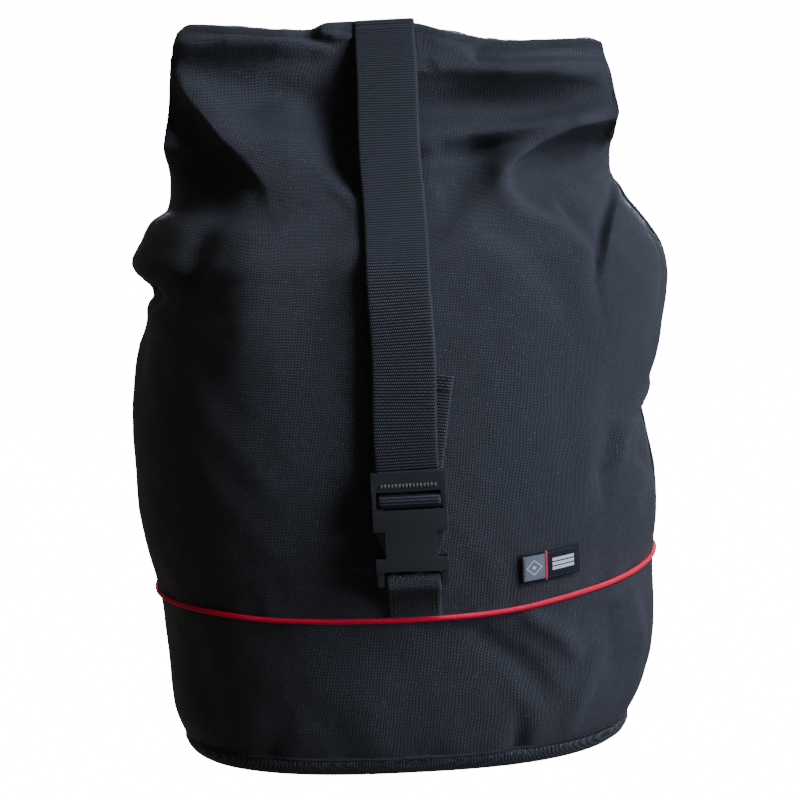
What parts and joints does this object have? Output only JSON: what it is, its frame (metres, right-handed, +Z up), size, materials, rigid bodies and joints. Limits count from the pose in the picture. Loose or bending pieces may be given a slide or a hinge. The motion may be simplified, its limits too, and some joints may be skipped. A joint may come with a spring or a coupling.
{
  "type": "roll-top rope bag",
  "caption": "Tall roll-top sack for storing rope, with a stiff oval base, red piping, a wide closing strap with side-release buckle, and a padded back harness.",
  "frame": {"origin": "middle of the flat base, on the surface that the bag stands on", "axes": "+Z up; -Y towards the front with the closing strap; +X to the right of a person facing the front"},
  "size_m": [0.4678, 0.3318, 0.6144],
  "materials": {
    "bag_fabric": "coated plain-weave polyester, near black with a slight navy cast and a soft sheen",
    "binding_tape": "black ribbed binding tape, matt",
    "wide_webbing": "black polyester webbing with cross ribs and a plain selvedge",
    "narrow_webbing": "black polyester webbing, narrow",
    "buckle_plastic": "black moulded acetal, satin with a fine spark-eroded grain",
    "stiffener_sheet": "dark grey plastic sheet, matt",
    "red_piping": "bright red coated piping cord, satin",
    "woven_label": "black damask label with a plain grey and red pattern, no lettering"
  },
  "bodies": {
    "bag": {"base_panel": "bag_fabric", "lower_band": "bag_fabric", "body_wrap": "bag_fabric", "back_panel": "bag_fabric", "upper_back": "bag_fabric", "buckle_tab": "bag_fabric", "back_pad": "bag_fabric", "shoulder_strap_left": "bag_fabric", "shoulder_strap_right": "bag_fabric", "corner_wing_left": "bag_fabric", "corner_wing_right": "bag_fabric", "base_welt": "binding_tape", "side_binding_left": "binding_tape", "side_binding_right": "binding_tape", "yoke_tape": "wide_webbing", "strap_back": "wide_webbing", "strap_upper": "wide_webbing", "strap_lower": "wide_webbing", "handle_anchor_left": "wide_webbing", "handle_anchor_right": "wide_webbing", "lower_webbing_left": "narrow_webbing", "lower_webbing_right": "narrow_webbing", "buckle_female": "buckle_plastic", "base_stiffener": "stiffener_sheet", "piping": "red_piping", "label": "woven_label"},
    "roll": {"roll_sheet": "bag_fabric", "roll_stiffener": "stiffener_sheet", "strap_over": "wide_webbing"},
    "buckle_male": {"buckle_male_frame": "buckle_plastic", "strap_loop": "wide_webbing", "strap_tail": "wide_webbing", "tail_hem": "wide_webbing"},
    "arm_left": {"buckle_arm_left": "buckle_plastic"},
    "arm_right": {"buckle_arm_right": "buckle_plastic"},
    "handle": {"grab_handle": "wide_webbing"},
    "lock_left": {"ladder_lock_left": "buckle_plastic", "adjuster_tail_left": "narrow_webbing"},
    "lock_right": {"ladder_lock_right": "buckle_plastic", "adjuster_tail_right": "narrow_webbing"}
  },
  "joints": [
    {"name": "roll_lift", "type": "hinge", "parent": "bag", "child": "roll", "pos_m": [0, -0.0306, 0.6054], "axis": [1, 0, 0], "range_deg": [0, 60], "deforming": ["strap_back"]},
    {"name": "buckle_release", "type": "slide", "parent": "bag", "child": "buckle_male", "axis": [0, 0, 1], "range_m": [0, 0.045], "deforming": ["strap_lower"]},
    {"name": "arm_left_press", "type": "hinge", "parent": "buckle_male", "child": "arm_left", "pos_m": [-0.0135, -0.158, 0.2135], "axis": [0, -1, 0], "range_deg": [0, 7], "stiffness_Nm_per_rad": 0.2},
    {"name": "arm_right_press", "type": "hinge", "parent": "buckle_male", "child": "arm_right", "pos_m": [0.0195, -0.158, 0.2135], "axis": [0, 1, 0], "range_deg": [0, 7], "stiffness_Nm_per_rad": 0.2},
    {"name": "grab_handle_swing", "type": "hinge", "parent": "bag", "child": "handle", "pos_m": [0.003, 0.12, 0.462], "axis": [1, 0, 0], "range_deg": [0, 110]},
    {"name": "lock_left_tilt", "type": "hinge", "parent": "bag", "child": "lock_left", "pos_m": [-0.1194, 0.1476, 0.1965], "axis": [1, 0, 0], "range_deg": [0, 30]},
    {"name": "lock_right_tilt", "type": "hinge", "parent": "bag", "child": "lock_right", "pos_m": [0.1194, 0.1476, 0.1965], "axis": [1, 0, 0], "range_deg": [0, 30]}
  ],
  "couplings": [
    {"joint": "arm_right_press", "follows": "arm_left_press", "ratio": 1}
  ]
}
